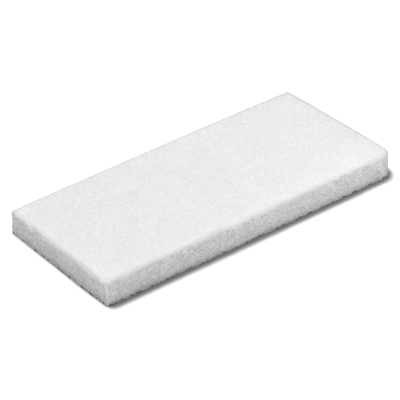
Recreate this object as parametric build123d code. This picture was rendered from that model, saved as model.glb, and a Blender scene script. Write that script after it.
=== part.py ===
from build123d import *

import os

# A rectangular hand pad, cut from a thick sheet of nonwoven abrasive fibre web. It is one
# soft block of the same web all through, with no core, backing or layers, and it lies flat.
# X runs along the pad, Y across it and Z up. The origin is on the resting face, at the
# middle of the pad's length and width. All sizes are in millimetres.

# Plan of the cut
pad_length = 254.0  # from end to end, along the middle
near_end_width = 111.0  # across the end at -X
far_end_width = 111.5  # across the end at +X, where the pad is a trace wider
far_end_lean = 6.0  # how much further the +X end reaches at its -Y corner than at its +Y one
long_side_bow = 0.6  # how far each long side stands out at its middle
end_bow = 0.3  # how far each end stands out at its middle

# Section of the web
pad_thickness = 20.0
shoulder_radius = 4.0  # the soft round where the springy upper face rolls into the cut sides
lower_edge_radius = 1.0  # the crisper edge round the resting face

# Upright corners, each pressed and handled differently
near_front_corner_radius = 2.0  # at -X, -Y
far_front_corner_radius = 10.0  # at +X, -Y
far_back_corner_radius = 1.5  # at +X, +Y
near_back_corner_radius = 1.2  # at -X, +Y

near_front = Vector(-pad_length / 2, -near_end_width / 2)
far_front = Vector(pad_length / 2 + far_end_lean / 2, -far_end_width / 2)
far_back = Vector(pad_length / 2 - far_end_lean / 2, far_end_width / 2)
near_back = Vector(-pad_length / 2, near_end_width / 2)


def bowed_side(start, end, bow):
    """The parabola from start to end that stands out by bow at its middle, to the right."""
    run = end - start
    outward = Vector(run.Y, -run.X).normalized()
    return Bezier(start, (start + end) / 2 + outward * 2 * bow, end)


def cut_outline():
    """The pad seen from above: four bowed sides and four corners of their own radius."""
    front_side = bowed_side(near_front, far_front, long_side_bow)
    far_end = bowed_side(far_front, far_back, end_bow)
    back_side = bowed_side(far_back, near_back, long_side_bow)
    near_end = bowed_side(near_back, near_front, end_bow)
    outline = Face(Wire([front_side, far_end, back_side, near_end]))
    corners = (
        (near_front, near_front_corner_radius),
        (far_front, far_front_corner_radius),
        (far_back, far_back_corner_radius),
        (near_back, near_back_corner_radius),
    )
    for corner, radius in corners:
        sharp_corner = outline.vertices().sort_by_distance(corner)[0]
        outline = outline.fillet_2d(radius, [sharp_corner])
    return outline


def soft_block(outline):
    """The web's full thickness over the outline, with its upper and lower edges rounded."""
    block = extrude(outline, pad_thickness, dir=(0, 0, 1))
    upper_edges = block.faces().sort_by(Axis.Z)[-1].edges()
    block = fillet(upper_edges, shoulder_radius)
    lower_edges = block.faces().sort_by(Axis.Z)[0].edges()
    return fillet(lower_edges, lower_edge_radius)


pad = soft_block(cut_outline())
plan_middle = pad.bounding_box().center()
pad = Pos(-plan_middle.X, -plan_middle.Y, 0) * pad

os.makedirs("parts", exist_ok=True)
export_step(pad, "parts/pad.step")
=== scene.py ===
import math

import bpy
import numpy as np
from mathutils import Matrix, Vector


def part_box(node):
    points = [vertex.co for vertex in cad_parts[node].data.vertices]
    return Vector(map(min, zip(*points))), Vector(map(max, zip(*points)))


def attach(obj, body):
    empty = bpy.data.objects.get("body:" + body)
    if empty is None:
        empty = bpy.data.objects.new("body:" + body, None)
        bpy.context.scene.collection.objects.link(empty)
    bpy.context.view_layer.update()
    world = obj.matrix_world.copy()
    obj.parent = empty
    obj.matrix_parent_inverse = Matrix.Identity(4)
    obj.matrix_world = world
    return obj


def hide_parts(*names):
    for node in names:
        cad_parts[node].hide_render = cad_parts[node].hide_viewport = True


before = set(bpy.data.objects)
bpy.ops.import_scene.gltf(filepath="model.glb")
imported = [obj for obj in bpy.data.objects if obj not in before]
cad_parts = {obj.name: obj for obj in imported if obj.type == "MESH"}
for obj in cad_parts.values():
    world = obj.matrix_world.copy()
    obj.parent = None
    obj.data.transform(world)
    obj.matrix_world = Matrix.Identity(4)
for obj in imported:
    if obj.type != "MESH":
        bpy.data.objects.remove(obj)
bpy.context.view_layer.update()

# A white hand pad of nonwoven abrasive web, lying on a pale studio floor. Forms are worked
# out in millimetres in the part's own frame, and turned to metres as they become meshes.

MM = 0.001
pad_low, pad_high = (np.array(corner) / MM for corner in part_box("pad"))

# The cut of the pad, with the part's own sizes
LENGTH = 254.0  # from end to end, along the middle
NEAR_END_WIDTH = 111.0
FAR_END_WIDTH = 111.5
FAR_END_LEAN = 6.0  # how much further the far end reaches at its front corner
SIDE_BOW = 0.6  # how far each long side stands out at its middle
END_BOW = 0.3  # how far each end does
SHOULDER = 4.0  # radius of the soft round under the upper face
LOWER_EDGE = 0.25  # radius at the floor, less than the part's own, as loose fibres fill it
CORNER_RADII = {"near_front": 2.0, "far_front": 10.0, "far_back": 1.5, "near_back": 1.2}
THICKNESS = pad_high[2] - pad_low[2]
NEAR_END_X = pad_low[0] + END_BOW

# The narrow flat that the rounded far front corner turns into low down
FLAT_TURN = -38.5  # degrees from +X that it faces
FLAT_EDGE = 1.5  # radius of its upright edges
FLAT_HEIGHTS = (18.0, 11.0)  # where it starts to show, and where it is whole

# The web's mesh
FACE_STEP = 0.93  # between knots along and across the pad
SIDE_STEP = 0.62  # between knots up the cut sides

# Parts of the web, told by the smooth form's unit normal: each range is where that part's
# look starts and where it is whole
CUT_TILT = (0.78125, 0.15625)  # how upright the normal is on the cut sides
SHOULDER_TILT = (1.0, 0.9375)  # how upright it is where the upper face turns down
SHOULDER_SHADE_SHARE = 0.8  # how much of the shoulder's painted shade it takes
CORNER_TURN = (0.16, 0.56)  # the smaller level part of the normal at the upright corners
CORNER_HIGHLIGHT_SHARE = 0.7  # how much of the corners' painted highlight they take
RESTING_TILT = (0.75, 0.95)  # how far down the normal points on the resting face
RESTING_PRESS = 0.75  # share of the relief that the pad's weight presses flat there

# Relief of the web, in layers: how high each stands, over what distance it varies, its seed
FACE_RELIEF = ((0.07, 26.0, 1), (0.04, 9.0, 2), (0.03, 2.2, 3))  # two swells and the felt
CLUMPS = ((0.18, 3.6, 4), (0.20, 1.8, 5))
GRAIN = ((0.12, 1.2, 8),)
SWAY = ((0.25, (38.0, 38.0, 16.0), 7),)  # how the cut wanders
LAYING = (0.7, 0.7, 1.0)  # draws clumps and creases out along the web's layers
CREASE_DEPTH = 0.40
CREASE_SPACING = 3.0
CREASE_WIDTH = 0.28  # how far from zero the noise is at a crease's edge
NOTCH_DEPTH = 1.2
NOTCH_SPACING = (2.2, 2.2, 6.0)  # narrow along the rim, and tall up the side
NOTCH_FROM = 0.05  # the noise at a notch's edge
NOTCH_HEIGHTS = (1.82, 0.42)  # where the notches start and where they are whole

# Loose fibres
FACE_FIBRE = 0.045  # radius of the fibres pressed flat on the faces, drawn coarser to show
CUT_FIBRE = 0.09  # radius of the bundles cut through at the sides, where fibres cling together
FACE_FIBRE_COUNTS = {"upper": 5000, "resting": 1500}
CUT_FIBRE_COUNTS = {"front": 6000, "near_end": 2600, "back": 6000, "far_end": 2600}
FACE_FIBRE_PATHS = {"length": (5.0, 14.0), "knots": 7, "curl": 1.0, "lift": -0.01, "rise": 0.03}
CUT_FIBRE_PATHS = {"length": (1.6, 5.0), "knots": 5, "curl": 1.1, "rise": 0.16}
CUT_LIFT = 0.02  # how far the bundles stand out from the cut sides
CUT_MARGINS = (0.3, 1.0)  # how far they start from the floor and from the upper face
RIM_LIFT = 0.08  # how far they stand out at the rim by the floor
RIM_HEIGHTS = (0.1, 1.2)  # the height of that rim
RIM_PART = 6  # one fibre in so many is at the rim
SLOW_WAVES = (0.5, 1.1)  # along a fibre, of the wide swing of its heading
FAST_WAVES = (1.2, 2.2)  # and of the narrow one
SLOW_SWING = 1.6  # radians
FAST_SWING = 0.8

# Tones and patterns of the web
FELT_CELL = 0.55  # felted fibres, about 0.03 mm across in truth, drawn coarser to show
END_CELL = 0.9  # fibre ends and, as painted shade, the darker gaps between them, drawn coarser in the same way
CELL_SPAN = (0.1, 0.9)  # of the cells' random values, which the tones go over
FACE_TONES = ("E2E2E2", "FEFEFE")
# random speckle of fibre ends, its darker end being painted shade in the gaps between them
CUT_SPECKLE_AND_GAP_SHADE = ("C0C0C0", "F8F8F8")
SHOULDER_PAINTED_SHADE = "DCDCDC"  # painted shade, greyer than the faces where the upper face turns down
CORNER_PAINTED_HIGHLIGHT = "FEFEFE"  # painted highlight, paler along the upright corners
GAP_PAINTED_SHADE = "505050"  # painted shade, dark as little light gets in under the web's lower edge
GAP_SPACING = 2.2  # along the edge
GAP_SPAN = (0.44, 0.6)  # of the noise over which a gap grows to its full height
GAP_TOPS = (-0.5, 1.3)  # heights of the lowest and the highest; below 0 there is no gap
GAP_FADE = 0.3  # over which a gap's top fades out
FACE_BUMP = 0.12  # how strongly the felt's unevenness shows on the faces
CUT_BUMP = 0.47  # and on the cut sides
BUMP_HEIGHT = 0.25
PRESSED_TONES = ("F0F0F0", "F8F8F8")
PRESSED_SPACING = 1.4  # over which the pressed fibres' tone changes
CUT_FIBRE_TONES = ("C8C8C8", "F8F8F8")
CUT_SPACING = 1.0  # and the cut ones'
FIBRE_SPAN = (0.38, 0.62)  # of the noise along the fibres, which the tones go over

# The light, with angles in degrees
ROOM_LIGHT = 0.03
HIGH_LAMP = {"strength": 2.37, "spread": 32.0, "azimuth": 183.0, "elevation": 67.0}
FILL_LAMP = {"strength": 2.08, "spread": 60.0, "azimuth": -43.5, "elevation": 20.0}
SIDE_LAMP_PLACE = (180.0, -320.0, 150.0)
SIDE_LAMP_POWER = 0.21
SIDE_LAMP_SIZE = 150.0

# The floor, and its shade in the gap beside the pad
FLOOR_TONE = "F0F0F0"
SECOND_COAT = "C0C0C0"  # laid on the first, to the eye alone
FLOOR_REACH = 30.0  # metres from its middle to its sides
FLOOR_DROP = 0.02  # below the pad's resting face, so that the two never share a plane
SHADE_REACH = 8.5  # how far from the pad the shade goes that the eye sees
SHADE_DEPTH = 0.23  # how much light is left where it is deepest
SHADE_LEAN = (-0.3, 0.6, 0.0)  # how the floor's normal leans for it: back, to the pad's front
BOUNCE_REACH = 14.0  # the same three for the light that the floor throws back on the pad
BOUNCE_DEPTH = 0.12
BOUNCE_LEAN = (0.7, -1.2, 0.0)
SHADE_FROM = 0.4  # openness of the gap at which the shade is deepest

# The view
VIEW_AZIMUTH = -38.5
VIEW_ELEVATION = 34.44
VIEW_DISTANCE = 1881.0
VIEW_LENS = 238.54
VIEW_TARGET = (-0.59, 5.03, 0.0)


# ---------------------------------------------------------------- camera

def direction(azimuth, elevation):
    """Unit vector towards a viewer at that azimuth (0 is -Y, turning to +X) and elevation."""
    a, e = math.radians(azimuth), math.radians(elevation)
    return Vector((math.sin(a) * math.cos(e), -math.cos(a) * math.cos(e), math.sin(e)))


def aim_camera():
    """A long lens, far off and above the pad's near front corner."""
    camera = bpy.data.objects.new("camera", bpy.data.cameras.new("camera"))
    bpy.context.scene.collection.objects.link(camera)
    towards_viewer = direction(VIEW_AZIMUTH, VIEW_ELEVATION)
    camera.location = (Vector(VIEW_TARGET) + towards_viewer * VIEW_DISTANCE) * MM
    camera.rotation_euler = towards_viewer.to_track_quat("Z", "Y").to_euler()
    camera.data.sensor_width = 36.0
    camera.data.lens = VIEW_LENS
    camera.data.clip_end = 20.0
    bpy.context.scene.camera = camera


# ---------------------------------------------------------------- form of the pad

def cut_sides():
    """The plan's four corners and the four cut sides between them, counter-clockwise, each
    side as its middle, its outward normal, its direction and half its length."""
    near, far = NEAR_END_X, NEAR_END_X + LENGTH
    corners = np.array([
        (near, -NEAR_END_WIDTH / 2),
        (far + FAR_END_LEAN / 2, -FAR_END_WIDTH / 2),
        (far - FAR_END_LEAN / 2, FAR_END_WIDTH / 2),
        (near, NEAR_END_WIDTH / 2),
    ])
    sides = []
    for start, end in zip(corners, np.roll(corners, -1, axis=0)):
        run = end - start
        along = run / np.linalg.norm(run)
        normal = np.array((along[1], -along[0]))
        sides.append(((start + end) / 2, normal, along, np.linalg.norm(run) / 2))
    return corners, dict(zip(("front", "far", "back", "near"), sides))


CORNERS, SIDES = cut_sides()
MIDDLE_X = CORNERS[:, 0].mean()


def on_plan(s, t):
    """The plan's point at a share s of the length and t of the width: its four corners
    blended by (1 - s)(1 - t), s(1 - t), st and (1 - s)t."""
    weights = np.stack([(1 - s) * (1 - t), s * (1 - t), s * t, (1 - s) * t], axis=1)
    return weights @ CORNERS


def flat_of_corner():
    """The flat below the far front corner's rounding touches that rounding: its normal in
    plan, and the distance along the normal from the origin to the flat. The rounding's
    centre is its radius inside both of the sides that meet there."""
    turn = math.radians(FLAT_TURN)
    normal = np.array([math.cos(turn), math.sin(turn)])
    radius = CORNER_RADII["far_front"]
    normals = np.array([SIDES["far"][1], SIDES["front"][1]])
    reaches = np.array([np.dot(SIDES[name][0], SIDES[name][1]) for name in ("far", "front")])
    centre = np.linalg.solve(normals, reaches - radius)
    return normal, centre @ normal + radius


FLAT_NORMAL, FLAT_REACH = flat_of_corner()


def smooth_step(value, start=0.0, whole=1.0):
    """0 up to the start, 1 from where it is whole and 3t^2 - 2t^3 between, where t is the
    share of the way from one to the other."""
    t = np.clip((value - start) / (whole - start), 0.0, 1.0)
    return t * t * (3.0 - 2.0 * t)


def beyond_side(name, x, y):
    """How far points stand outside one cut side, which bows out as a parabola."""
    middle, normal, along, half = SIDES[name]
    bow = SIDE_BOW if name in ("front", "back") else END_BOW
    dx, dy = x - middle[0], y - middle[1]
    t = (dx * along[0] + dy * along[1]) / half
    return dx * normal[0] + dy * normal[1] - bow * (1.0 - np.clip(t, -1.0, 1.0) ** 2)


def rounded_corner(a, b, radius):
    """Distance outside the meeting of two half spaces, given the distance outside each,
    where their edge is rounded to radius."""
    u, v = a + radius, b + radius
    return np.hypot(np.maximum(u, 0), np.maximum(v, 0)) + np.minimum(np.maximum(u, v), 0) - radius


def corner_radius(far, back):
    """The radius in plan of the upright corner nearest to each point."""
    return np.where(
        far,
        np.where(back, CORNER_RADII["far_back"], CORNER_RADII["far_front"]),
        np.where(back, CORNER_RADII["near_back"], CORNER_RADII["near_front"]),
    )


def web_distance(p):
    """Distance of points outside the pad's smooth form: in plan the meeting of an end and a
    long side, rounded by that corner's radius; in section the meeting of that outline with
    the upper or the resting face, rounded by the shoulder or the lower edge. Low down, the
    far front corner blends into a flat that meets both its sides in near sharp edges."""
    x, y, z = p.T
    far, back = x > MIDDLE_X, y > 0
    end = np.where(far, beyond_side("far", x, y), beyond_side("near", x, y))
    long_side = np.where(back, beyond_side("back", x, y), beyond_side("front", x, y))
    outline = rounded_corner(end, long_side, corner_radius(far, back))
    flat = p[:, :2] @ FLAT_NORMAL - FLAT_REACH
    cut = rounded_corner(rounded_corner(end, flat, FLAT_EDGE), long_side, FLAT_EDGE)
    flattened = np.where(far & ~back, smooth_step(z, *FLAT_HEIGHTS), 0.0)
    outline = outline + flattened * (cut - outline)
    above = rounded_corner(outline, z - THICKNESS, SHOULDER)
    below = rounded_corner(outline, -z, LOWER_EDGE)
    return np.where(z > THICKNESS / 2, above, below)


def web_normal(p):
    """Unit normals of the smooth form, from differences of its distance."""
    reach = 0.02
    slopes = [web_distance(p + step) - web_distance(p - step) for step in np.eye(3) * reach]
    normal = np.stack(slopes, axis=1)
    return normal / np.maximum(np.linalg.norm(normal, axis=1, keepdims=True), 1e-9)


def settle(p):
    """Walks points along the normal onto the smooth form, in six steps."""
    for _ in range(6):
        p = p - web_normal(p) * web_distance(p)[:, None]
    return p


# ---------------------------------------------------------------- relief of the web

# The noise's random values, and a turn that lines its lattice up with none of the pad's sides
KNOTS = np.random.default_rng(11).uniform(-1.0, 1.0, (64, 64, 64))
TURN = np.array([(0.36, 0.48, -0.80), (-0.80, 0.60, 0.0), (0.48, 0.64, 0.60)])
SEED_STEP = 17.3  # how far apart on the lattice the noises of two seeds lie


def soft_noise(p, spacing, seed):
    """Noise from -1 to 1 that varies over spacing millimetres: random values at the knots of
    a turned lattice, blended between the eight knots round each point by smooth_step."""
    q = (p / np.asarray(spacing)) @ TURN.T + seed * SEED_STEP
    low = np.floor(q).astype(int)
    t = smooth_step(q - low)
    total = 0.0
    for i in (0, 1):
        for j in (0, 1):
            for k in (0, 1):
                weight = (
                    np.where(i, t[:, 0], 1 - t[:, 0])
                    * np.where(j, t[:, 1], 1 - t[:, 1])
                    * np.where(k, t[:, 2], 1 - t[:, 2])
                )
                at = (low + (i, j, k)) % len(KNOTS)
                total = total + weight * KNOTS[at[:, 0], at[:, 1], at[:, 2]]
    return total


def layers(p, parts):
    """The sum of layers of relief, each its height times its soft noise."""
    return sum(height * soft_noise(p, spacing, seed) for height, spacing, seed in parts)


def cut_share(normal):
    """1 on the cut sides and 0 on the two pressed faces, from how upright the normal is."""
    return smooth_step(np.abs(normal[:, 2]), *CUT_TILT)


def shoulder_shade_share(normal):
    """The share of the shoulder's painted shade, from where it starts to turn down, fading out on
    the cut sides.
    """
    turned_down = smooth_step(np.abs(normal[:, 2]), *SHOULDER_TILT)
    return SHOULDER_SHADE_SHARE * turned_down * (1.0 - cut_share(normal))


def corner_highlight_share(normal):
    """The share of the upright corners' painted highlight, from how far the normal in plan has
    turned between two sides: the smaller of its two level parts, over their length."""
    plan = np.abs(normal[:, :2])
    turned = plan.min(axis=1) / np.maximum(np.hypot(*plan.T), 1e-9)
    return CORNER_HIGHLIGHT_SHARE * smooth_step(turned, *CORNER_TURN) * cut_share(normal)


def relief(p, normal):
    """How far the web stands proud of the smooth form. The pressed faces are near flat, with
    a shallow felted grain. The cut sides are rougher: clumps of fibre a few millimetres
    across that run along the layers, creases between them where noise crosses zero, and a
    rim with notches where the web meets the floor."""
    cut = cut_share(normal)
    laid = p * LAYING
    near_zero = CREASE_WIDTH - np.abs(soft_noise(laid, CREASE_SPACING, seed=6))
    creases = -CREASE_DEPTH * np.maximum(0.0, near_zero) / CREASE_WIDTH
    notches = np.maximum(0.0, soft_noise(p, NOTCH_SPACING, seed=9) - NOTCH_FROM)
    rim = -NOTCH_DEPTH * notches * smooth_step(p[:, 2], *NOTCH_HEIGHTS)
    rough = layers(laid, CLUMPS) + layers(p, GRAIN) + creases + layers(p, SWAY) + rim
    height = (1 - cut) * layers(p, FACE_RELIEF) + cut * rough
    return height * (1 - RESTING_PRESS * smooth_step(-normal[:, 2], *RESTING_TILT))


def on_web(p, lift=0.0):
    """Points settled on the pad and pushed out along its normal by the relief and lift, and
    never below the floor."""
    p = settle(p)
    normal = web_normal(p)
    p = p + normal * (relief(p, normal) + lift)[:, None]
    p[:, 2] = np.maximum(p[:, 2], 0.0)
    return p, normal


# ---------------------------------------------------------------- meshes

def make_piece(name, points, faces, sides_per_face, material):
    """A mesh object from whole arrays: points in millimetres, and faces as a flat list of
    corners with the number of corners of each face."""
    mesh = bpy.data.meshes.new(name)
    mesh.vertices.add(len(points))
    mesh.vertices.foreach_set("co", (points * MM).astype(np.float32).ravel())
    mesh.loops.add(len(faces))
    mesh.loops.foreach_set("vertex_index", faces.astype(np.int32))
    starts = np.concatenate(([0], np.cumsum(sides_per_face)[:-1])).astype(np.int32)
    mesh.polygons.add(len(starts))
    mesh.polygons.foreach_set("loop_start", starts)
    mesh.update(calc_edges=True)
    mesh.polygons.foreach_set("use_smooth", np.ones(len(starts), bool))
    mesh.validate()
    piece = bpy.data.objects.new(name, mesh)
    bpy.context.scene.collection.objects.link(piece)
    mesh.materials.append(material)
    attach(piece, "root")
    return piece


def block_grid():
    """The surface of a sharp-edged block over the pad's plan, as a closed net of squares: the
    six sides of a lattice of unit steps, with the knots on shared edges merged. The lattice
    is carried onto the plan by blending its four corners, and each side bows out by
    4t(1 - t) of its bow."""
    counts = np.array([
        round(LENGTH / FACE_STEP),
        round(FAR_END_WIDTH / FACE_STEP),
        round(THICKNESS / SIDE_STEP),
    ])
    knots, squares, used = [], [], 0
    for axis in range(3):
        u, v = (axis + 1) % 3, (axis + 2) % 3
        i, j = np.meshgrid(np.arange(counts[u] + 1), np.arange(counts[v] + 1), indexing="ij")
        index = np.arange(i.size).reshape(i.shape)
        square = np.stack([index[:-1, :-1], index[1:, :-1], index[1:, 1:], index[:-1, 1:]], -1)
        square = square.reshape(-1, 4)
        for end in (0, counts[axis]):
            knot = np.zeros((i.size, 3), int)
            knot[:, u], knot[:, v], knot[:, axis] = i.ravel(), j.ravel(), end
            knots.append(knot)
            squares.append((square if end else square[:, ::-1]) + used)
            used += i.size
    knots, merged = np.unique(np.concatenate(knots), axis=0, return_inverse=True)
    squares = merged.ravel()[np.concatenate(squares)]
    s, t, w = (knots / counts).T
    plan = on_plan(s, t)
    plan[:, 0] += END_BOW * (2 * s - 1) * 4 * t * (1 - t)
    plan[:, 1] += SIDE_BOW * (2 * t - 1) * 4 * s * (1 - s)
    return np.column_stack([plan, w * THICKNESS]), squares


def web_body(material):
    """The web itself: the block's net settled on the soft form, with the web's relief. Its
    three attributes tell the material where the cut sides are, and where the shoulder's
    painted shade and the upright corners' painted highlight go."""
    block, squares = block_grid()
    points, normal = on_web(block)
    body = make_piece("web_body", points, squares.ravel(), np.full(len(squares), 4), material)
    for share in (cut_share, shoulder_shade_share, corner_highlight_share):
        held = body.data.attributes.new(share.__name__, "FLOAT", "POINT")
        held.data.foreach_set("value", share(normal).astype(np.float32))
    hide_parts("pad")
    return body


# ---------------------------------------------------------------- fibres

def fibre_paths(seeds, rng, length, knots, curl, lift, rise):
    """Curled fibres that start at points on the web: in the surface's tangent plane the
    heading swings by two sine waves along the fibre, the path is the running sum of its
    steps, and the lift off the web swings by rise. Returns paths and their normals."""
    count = len(seeds)
    normal = web_normal(settle(seeds))
    # X or Z, whichever lies well away from the normal
    guide = np.where(np.abs(normal[:, 2:]) > 0.7, (1.0, 0.0, 0.0), (0.0, 0.0, 1.0))
    across = np.cross(normal, guide)
    across /= np.linalg.norm(across, axis=1, keepdims=True)
    along = np.cross(across, normal)
    s = np.linspace(0.0, 1.0, knots)[None, :]
    start = rng.uniform(0, 2 * math.pi, (count, 1))
    slow = rng.uniform(*SLOW_WAVES, (count, 1))
    fast = rng.uniform(*FAST_WAVES, (count, 1))
    phases = rng.uniform(0, 2 * math.pi, (count, 2))
    heading = (
        start
        + curl * SLOW_SWING * np.sin(2 * math.pi * slow * s + phases[:, :1])
        + curl * FAST_SWING * np.sin(2 * math.pi * fast * s + phases[:, 1:])
    )
    step = rng.uniform(*length, (count, 1)) / (knots - 1)
    x = np.cumsum(np.cos(heading) * step, axis=1)
    y = np.cumsum(np.sin(heading) * step, axis=1)
    x -= x.mean(axis=1, keepdims=True)
    y -= y.mean(axis=1, keepdims=True)
    paths = seeds[:, None] + x[..., None] * across[:, None] + y[..., None] * along[:, None]
    swing = rise * np.sin(2 * math.pi * slow * s + phases[:, 1:])
    lifts = lift + rng.uniform(-0.5, 1.0, (count, 1)) * rise + swing
    points, normals = on_web(paths.reshape(-1, 3), lifts.ravel())
    return points.reshape(count, knots, 3), normals.reshape(count, knots, 3)


def fibre_piece(name, paths, normals, radius, material):
    """Fibres as closed three-sided tubes: at each knot of a path, three corners round it, set
    by the surface's normal and the direction across both it and the path."""
    count, knots = paths.shape[:2]
    run = np.gradient(paths, axis=1)
    side = np.cross(run, normals)
    side /= np.maximum(np.linalg.norm(side, axis=2, keepdims=True), 1e-9)
    up = np.cross(side, run)
    up /= np.maximum(np.linalg.norm(up, axis=2, keepdims=True), 1e-9)
    ring = np.arange(3) * 2 * math.pi / 3
    points = (
        paths[:, :, None]
        + radius * np.sin(ring)[:, None] * side[:, :, None]
        + radius * np.cos(ring)[:, None] * up[:, :, None]
    )
    points[..., 2] = np.maximum(points[..., 2], 0.0)
    knot = np.arange(knots - 1)[:, None] * 3
    a, b = knot + np.arange(3), knot + (np.arange(3) + 1) % 3
    walls = np.stack([a, b, b + 3, a + 3], -1).reshape(-1)
    last = (knots - 1) * 3
    one = np.concatenate([walls, (2, 1, 0), (last, last + 1, last + 2)])
    sizes = np.concatenate([np.full(3 * (knots - 1), 4), (3, 3)])
    faces = one + (np.arange(count) * knots * 3)[:, None]
    return make_piece(name, points.reshape(-1, 3), faces.ravel(), np.tile(sizes, count), material)


def scatter_on_face(count, z, rng):
    """Random points over the whole plan, at the height of the upper or resting face."""
    s, t = rng.uniform(0.0, 1.0, (2, count))
    return np.column_stack([on_plan(s, t), np.full(count, z)])


def scatter_on_sides(count, names, rng):
    """Random points on the named cut sides, as many on each as its length asks."""
    halves = np.array([SIDES[name][3] for name in names])
    picked = rng.choice(len(names), count, p=halves / halves.sum())
    middles = np.array([SIDES[name][0] for name in names])[picked]
    alongs = np.array([SIDES[name][2] for name in names])[picked]
    t = rng.uniform(-1.0, 1.0, (count, 1)) * halves[picked][:, None]
    z = rng.uniform(CUT_MARGINS[0], THICKNESS - CUT_MARGINS[1], count)
    return np.column_stack([middles + alongs * t, z])


def lay_fibres(face_material, cut_material):
    """Loose fibres over the web: long flat curls on the two pressed faces, and shorter,
    rougher bundles on the cut sides, some of them close to the floor."""
    rng = np.random.default_rng(5)
    for name, z in (("upper", THICKNESS), ("resting", 0.0)):
        seeds = scatter_on_face(FACE_FIBRE_COUNTS[name], z, rng)
        paths = fibre_paths(seeds, rng, **FACE_FIBRE_PATHS)
        fibre_piece(f"fibres_{name}_face", *paths, FACE_FIBRE, face_material)
    for name, count in CUT_FIBRE_COUNTS.items():
        seeds = scatter_on_sides(count, [name.removesuffix("_end")], rng)
        rim_count = count // RIM_PART
        seeds[:rim_count, 2] = rng.uniform(*RIM_HEIGHTS, rim_count)
        lift = np.full((count, 1), CUT_LIFT)
        lift[:rim_count] = RIM_LIFT
        paths = fibre_paths(seeds, rng, lift=lift, **CUT_FIBRE_PATHS)
        fibre_piece(f"fibres_{name}", *paths, CUT_FIBRE, cut_material)


# ---------------------------------------------------------------- materials

COLOUR_A, COLOUR_B, COLOUR_OUT = 6, 7, 2  # a Mix node's colour sockets, told only by number


def linear(hex_colour):
    """Scene-linear RGBA of an sRGB hex colour."""
    channels = [int(hex_colour[i:i + 2], 16) / 255 for i in (0, 2, 4)]
    return (*[c / 12.92 if c <= 0.04045 else ((c + 0.055) / 1.055) ** 2.4 for c in channels], 1.0)


def add_node(tree, kind, options=None, inputs=None):
    """Adds a node of that kind, with its options, and its inputs as values or as links."""
    node = tree.nodes.new(kind)
    for name, value in (options or {}).items():
        setattr(node, name, value)
    for name, value in (inputs or {}).items():
        if isinstance(value, bpy.types.NodeSocket):
            tree.links.new(value, node.inputs[name])
        else:
            node.inputs[name].default_value = value
    return node


def empty_material(name):
    """A new material, and its node tree with nothing in it."""
    material = bpy.data.materials.new(name)
    material.use_nodes = True
    material.node_tree.nodes.clear()
    return material, material.node_tree


def laid_over(tree, tone, *coats):
    """The tone with others over it in turn, each by the share that it covers."""
    for share, coat in coats:
        mixed = add_node(tree, "ShaderNodeMix", {"data_type": "RGBA"}, {
            "Factor": share, COLOUR_A: tone, COLOUR_B: coat,
        })
        tone = mixed.outputs[COLOUR_OUT]
    return tone


def between_tones(tree, pattern, span, tones):
    """The dark tone where the pattern is at the start of its span, the light one at its end
    and a blend of the two between."""
    share = add_node(tree, "ShaderNodeMapRange", None, {
        "Value": pattern, "From Min": span[0], "From Max": span[1],
    })
    dark, light = map(linear, tones)
    return laid_over(tree, dark, (share.outputs[0], light))


def rim_gaps(tree, place):
    """1 in the low gaps under the notched lower edge, where the web doesn't quite reach the
    floor and painted shade makes it dark, and 0 elsewhere. Noise along the edge sets each
    gap's top, and a place is in the gap by how far it lies below that top."""
    across = add_node(tree, "ShaderNodeTexNoise", None, {
        "Vector": place, "Scale": 1 / (GAP_SPACING * MM), "Detail": 0.0,
    })
    top = add_node(tree, "ShaderNodeMapRange", None, {
        "Value": across.outputs[0], "From Min": GAP_SPAN[0], "From Max": GAP_SPAN[1],
        "To Min": GAP_TOPS[0] * MM, "To Max": GAP_TOPS[1] * MM,
    })
    height = add_node(tree, "ShaderNodeSeparateXYZ", None, {0: place}).outputs["Z"]
    below = add_node(tree, "ShaderNodeMath", {"operation": "SUBTRACT"}, {
        0: top.outputs[0], 1: height,
    })
    inside = add_node(tree, "ShaderNodeMapRange", None, {
        "Value": below.outputs[0], "From Min": 0.0, "From Max": GAP_FADE * MM,
    })
    return inside.outputs[0]


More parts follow.
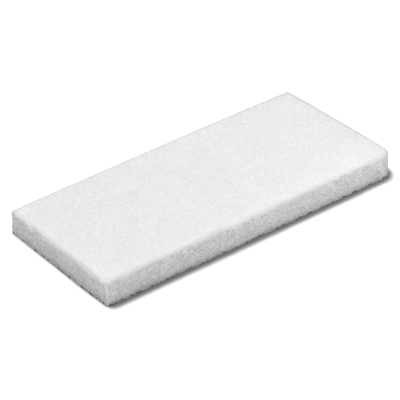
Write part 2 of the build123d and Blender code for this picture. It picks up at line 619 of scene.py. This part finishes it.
def polyester_web():
    """Nonwoven polyester web, resin-bonded: crimped white fibres heat-set into a lofty mat.
    Light sinks in several millimetres and comes out again, so the shoulder glows softly and
    the cut sides fade downwards. The pressed faces are an even, fine felt, and the cut sides
    show the open web, speckled with fibre ends and with gaps darkened by painted shade."""
    material, tree = empty_material("nonwoven_polyester_web")
    place = add_node(tree, "ShaderNodeTexCoord").outputs["Object"]
    cut, shoulder, corner = (
        add_node(tree, "ShaderNodeAttribute", {"attribute_name": share.__name__}).outputs["Fac"]
        for share in (cut_share, shoulder_shade_share, corner_highlight_share)
    )
    # Felted fibres on the faces, and on the cut sides fibre ends with the gaps between them,
    # whose darker tone is painted shade, as cells of one tone each
    felt, ends = (
        add_node(tree, "ShaderNodeTexVoronoi", None, {"Vector": place, "Scale": 1 / (cell * MM)})
        for cell in (FELT_CELL, END_CELL)
    )
    face_tone = between_tones(tree, felt.outputs["Color"], CELL_SPAN, FACE_TONES)
    cut_tone = between_tones(tree, ends.outputs["Color"], CELL_SPAN, CUT_SPECKLE_AND_GAP_SHADE)
    # the upright corners are made paler by a painted highlight
    cut_tone = laid_over(tree, cut_tone, (corner, linear(CORNER_PAINTED_HIGHLIGHT)))
    gaps = add_node(tree, "ShaderNodeMath", {"operation": "MULTIPLY"}, {
        0: cut, 1: rim_gaps(tree, place),
    })
    tone = laid_over(
        tree, face_tone,
        (cut, cut_tone),
        # the shoulder's grey is painted shade
        (shoulder, linear(SHOULDER_PAINTED_SHADE)),
        # the gaps under the lower edge are dark by painted shade
        (gaps.outputs[0], linear(GAP_PAINTED_SHADE)),
    )
    # The felt's own unevenness, a trace on the faces and deeper where the web is cut open
    depth = add_node(tree, "ShaderNodeMath", {"operation": "MULTIPLY_ADD"}, {
        0: cut, 1: CUT_BUMP - FACE_BUMP, 2: FACE_BUMP,
    })
    bump = add_node(tree, "ShaderNodeBump", None, {
        "Strength": depth.outputs[0], "Distance": BUMP_HEIGHT * MM,
        "Height": felt.outputs["Distance"],
    })
    shader = add_node(tree, "ShaderNodeBsdfPrincipled", None, {
        "Base Color": tone,
        "Roughness": 0.95,
        "IOR": 1.5,
        "Specular IOR Level": 0.1,
        "Subsurface Weight": 1.0,
        "Subsurface Radius": (1.0, 1.0, 1.0),
        "Subsurface Scale": 17.0 * MM,
        "Normal": bump.outputs[0],
    })
    add_node(tree, "ShaderNodeOutputMaterial", None, {"Surface": shader.outputs[0]})
    return material


def polyester_fibre(name, spacing, tones, gaps):
    """Single polyester fibres: the same white, a little smoother, so that they catch light.
    Their tone changes over spacing millimetres, as resin beads and turned fibres do. With
    gaps, they take the same painted shade as the web where it has gaps under its lower edge."""
    material, tree = empty_material(name)
    place = add_node(tree, "ShaderNodeTexCoord").outputs["Object"]
    beads = add_node(tree, "ShaderNodeTexNoise", None, {
        "Vector": place, "Scale": 1 / (spacing * MM), "Detail": 1.0,
    })
    tone = between_tones(tree, beads.outputs[0], FIBRE_SPAN, tones)
    if gaps:
        # painted shade in the gaps under the lower edge
        tone = laid_over(tree, tone, (rim_gaps(tree, place), linear(GAP_PAINTED_SHADE)))
    shader = add_node(tree, "ShaderNodeBsdfPrincipled", None, {
        "Base Color": tone,
        "Roughness": 0.7,
        "IOR": 1.55,
        "Specular IOR Level": 0.2,
    })
    add_node(tree, "ShaderNodeOutputMaterial", None, {"Surface": shader.outputs[0]})
    return material


# ---------------------------------------------------------------- studio

def seen_directly(tree):
    """1 for rays straight from the eye or through a mirror or glass, 0 for light's own."""
    rays = add_node(tree, "ShaderNodeLightPath")
    mirror = add_node(tree, "ShaderNodeMath", {"operation": "MAXIMUM"}, {
        0: rays.outputs["Is Camera Ray"], 1: rays.outputs["Is Glossy Ray"],
    })
    glass = add_node(tree, "ShaderNodeMath", {"operation": "MAXIMUM"}, {
        0: mirror.outputs[0], 1: rays.outputs["Is Transmission Ray"],
    })
    return glass.outputs[0]


def shaded_coat(tree, tone, reach, depth, lean):
    """A matt coat that grows darker in the gap beside the pad, down to depth of its own tone:
    smooth_step of how open the floor is within reach, seen along its normal as it leans."""
    upright = add_node(tree, "ShaderNodeNewGeometry").outputs["Normal"]
    leaning = add_node(tree, "ShaderNodeVectorMath", {"operation": "ADD"}, {0: upright, 1: lean})
    facing = add_node(tree, "ShaderNodeVectorMath", {"operation": "NORMALIZE"}, {
        0: leaning.outputs[0],
    })
    openness = add_node(tree, "ShaderNodeAmbientOcclusion", {"samples": 16}, {
        "Distance": reach * MM, "Normal": facing.outputs[0],
    })
    shade = add_node(tree, "ShaderNodeMapRange", {"interpolation_type": "SMOOTHSTEP"}, {
        "Value": openness.outputs["AO"], "From Min": SHADE_FROM, "From Max": 1.0,
        "To Min": depth, "To Max": 1.0,
    })
    colour = laid_over(tree, linear("000000"), (shade.outputs[0], linear(tone)))
    return add_node(tree, "ShaderNodeBsdfDiffuse", None, {"Color": colour}).outputs[0]


def studio_floor():
    """A wide pale floor, matt white. To the eye it has a second coat on its first, so that it
    reaches the white of the background where it is fully lit. Both are shaded in the narrow
    gap beside the pad, with a lean that deepens the shade along the pad's front. The light
    that the floor throws back is that of a single coat, with a wider shade that leans the
    other way, so that less of it reaches the near end than the front."""
    material, tree = empty_material("matt_white_floor")
    thrown_back = shaded_coat(tree, FLOOR_TONE, BOUNCE_REACH, BOUNCE_DEPTH, BOUNCE_LEAN)
    seen = add_node(tree, "ShaderNodeAddShader", None, {
        0: shaded_coat(tree, FLOOR_TONE, SHADE_REACH, SHADE_DEPTH, SHADE_LEAN),
        1: shaded_coat(tree, SECOND_COAT, SHADE_REACH, SHADE_DEPTH, SHADE_LEAN),
    })
    floor_look = add_node(tree, "ShaderNodeMixShader", None, {
        0: seen_directly(tree), 1: thrown_back, 2: seen.outputs[0],
    })
    add_node(tree, "ShaderNodeOutputMaterial", None, {"Surface": floor_look.outputs[0]})
    mesh = bpy.data.meshes.new("floor")
    signs = ((-1, -1), (1, -1), (1, 1), (-1, 1))
    corners = [(x * FLOOR_REACH, y * FLOOR_REACH, -FLOOR_DROP * MM) for x, y in signs]
    mesh.from_pydata(corners, [], [(0, 1, 2, 3)])
    mesh.materials.append(material)
    floor = bpy.data.objects.new("floor", mesh)
    bpy.context.scene.collection.objects.link(floor)


def sun_lamp(name, strength, spread, azimuth, elevation):
    """A lamp so far off that its light comes all from one direction, softened by its spread."""
    lamp = bpy.data.lights.new(name, "SUN")
    lamp.energy = strength
    lamp.angle = math.radians(spread)
    stand = bpy.data.objects.new(name, lamp)
    stand.rotation_euler = direction(azimuth, elevation).to_track_quat("Z", "Y").to_euler()
    bpy.context.scene.collection.objects.link(stand)


def side_lamp():
    """A small square lamp close to the pad's front, so that the cut side grows lighter
    towards the lamp. The eye doesn't see the lamp itself."""
    lamp = bpy.data.lights.new("side_lamp", "AREA")
    lamp.energy = SIDE_LAMP_POWER
    lamp.size = SIDE_LAMP_SIZE * MM
    stand = bpy.data.objects.new("side_lamp", lamp)
    stand.location = Vector(SIDE_LAMP_PLACE) * MM
    stand.rotation_euler = stand.location.to_track_quat("Z", "Y").to_euler()
    stand.visible_camera = False
    bpy.context.scene.collection.objects.link(stand)


def studio_light():
    """A faint white room that the eye sees as plain white, a broad lamp high behind the pad,
    a soft fill from the eye's side and a small lamp beside the front."""
    world = bpy.data.worlds.new("white_room")
    bpy.context.scene.world = world
    world.use_nodes = True
    tree = world.node_tree
    tree.nodes.clear()
    room, backdrop = (
        add_node(tree, "ShaderNodeBackground", None, {
            "Color": linear("FFFFFF"), "Strength": strength,
        })
        for strength in (ROOM_LIGHT, 1.0)
    )
    mix = add_node(tree, "ShaderNodeMixShader", None, {
        0: seen_directly(tree), 1: room.outputs[0], 2: backdrop.outputs[0],
    })
    add_node(tree, "ShaderNodeOutputWorld", None, {"Surface": mix.outputs[0]})
    sun_lamp("high_lamp", **HIGH_LAMP)
    sun_lamp("fill_lamp", **FILL_LAMP)
    side_lamp()


aim_camera()
web_body(polyester_web())
lay_fibres(
    polyester_fibre("pressed_polyester_fibre", PRESSED_SPACING, PRESSED_TONES, gaps=False),
    polyester_fibre("cut_polyester_fibre", CUT_SPACING, CUT_FIBRE_TONES, gaps=True),
)
studio_floor()
studio_light()
bpy.context.scene.view_settings.view_transform = "Standard"
